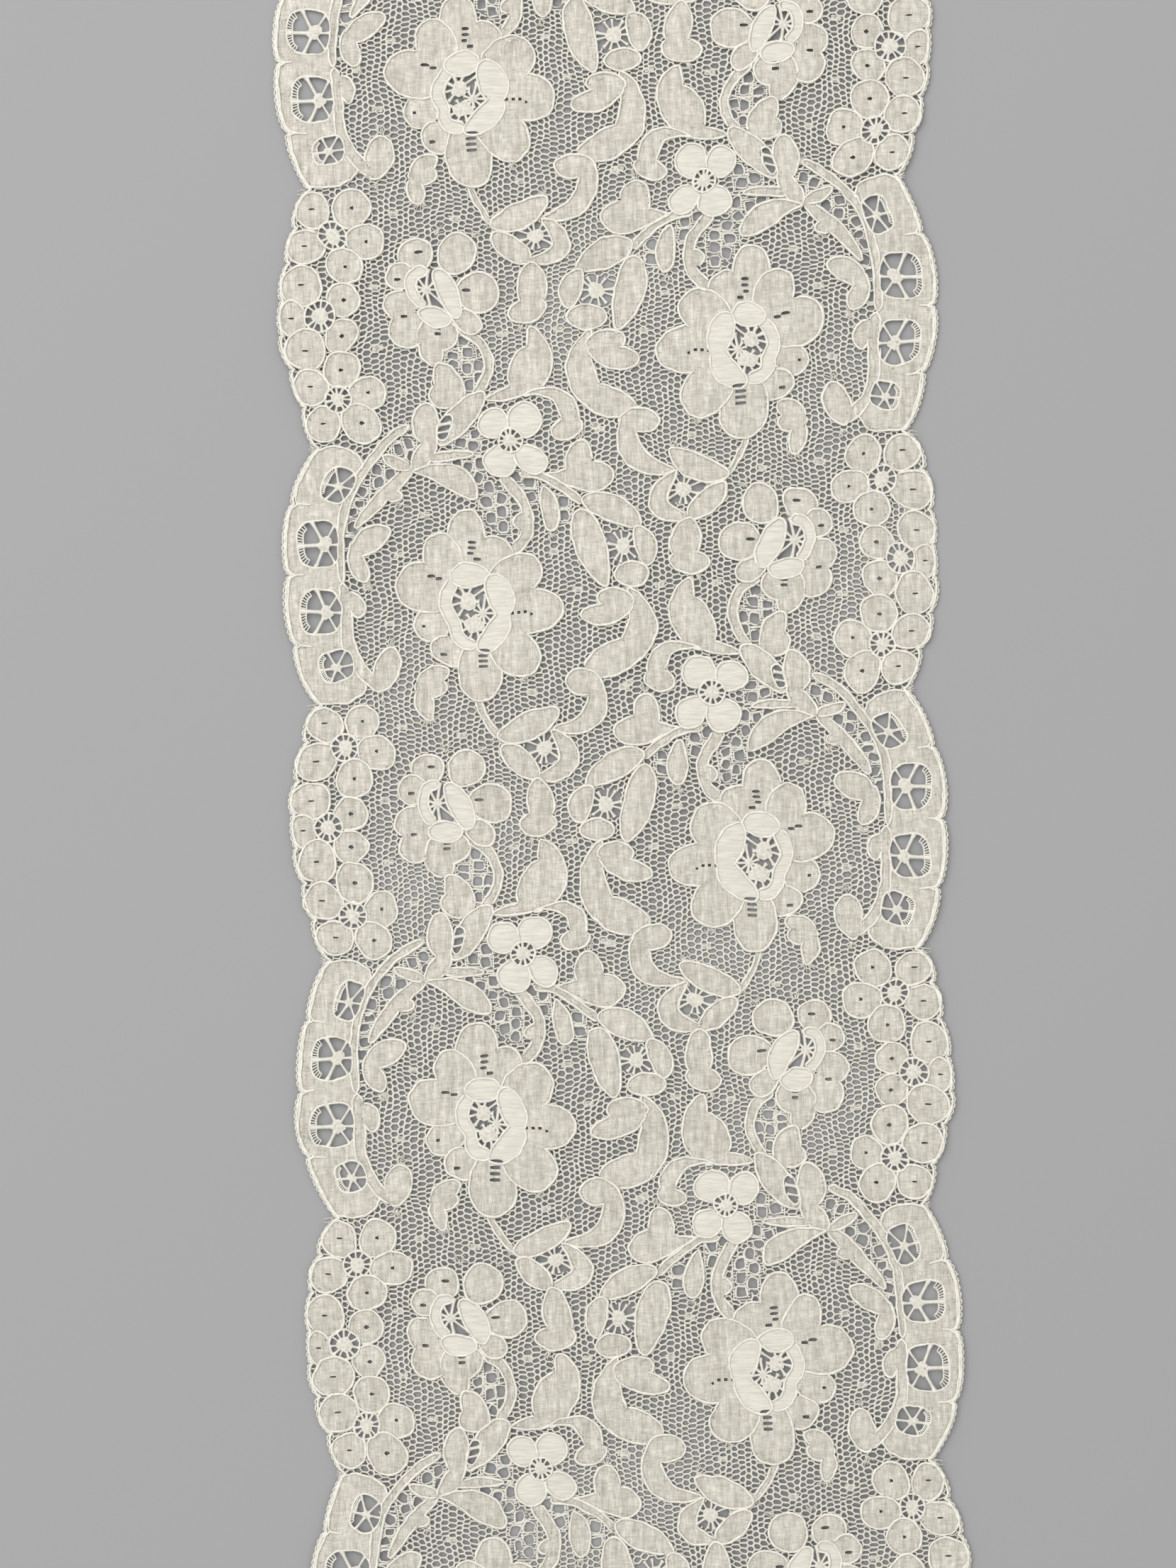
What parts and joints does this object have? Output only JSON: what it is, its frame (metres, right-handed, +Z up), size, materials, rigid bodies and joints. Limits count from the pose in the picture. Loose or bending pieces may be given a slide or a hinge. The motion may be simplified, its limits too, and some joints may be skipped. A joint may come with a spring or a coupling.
{
  "type": "lace galloon",
  "caption": "Flat cut length of ivory corded floral lace galloon with both edges scalloped, a trim that is sewn on or laid over cloth.",
  "frame": {"origin": "centre of the flat underside, on the surface the lace lies on", "axes": "+X across the lace to the picture's right, +Y along the lace to the picture's top, +Z up out of its face"},
  "size_m": [0.0908, 0.2286, 0.0015],
  "materials": {
    "ivory_lace": "matte"
  },
  "bodies": {
    "root": {"lace_galloon": "ivory_lace"}
  },
  "joints": []
}
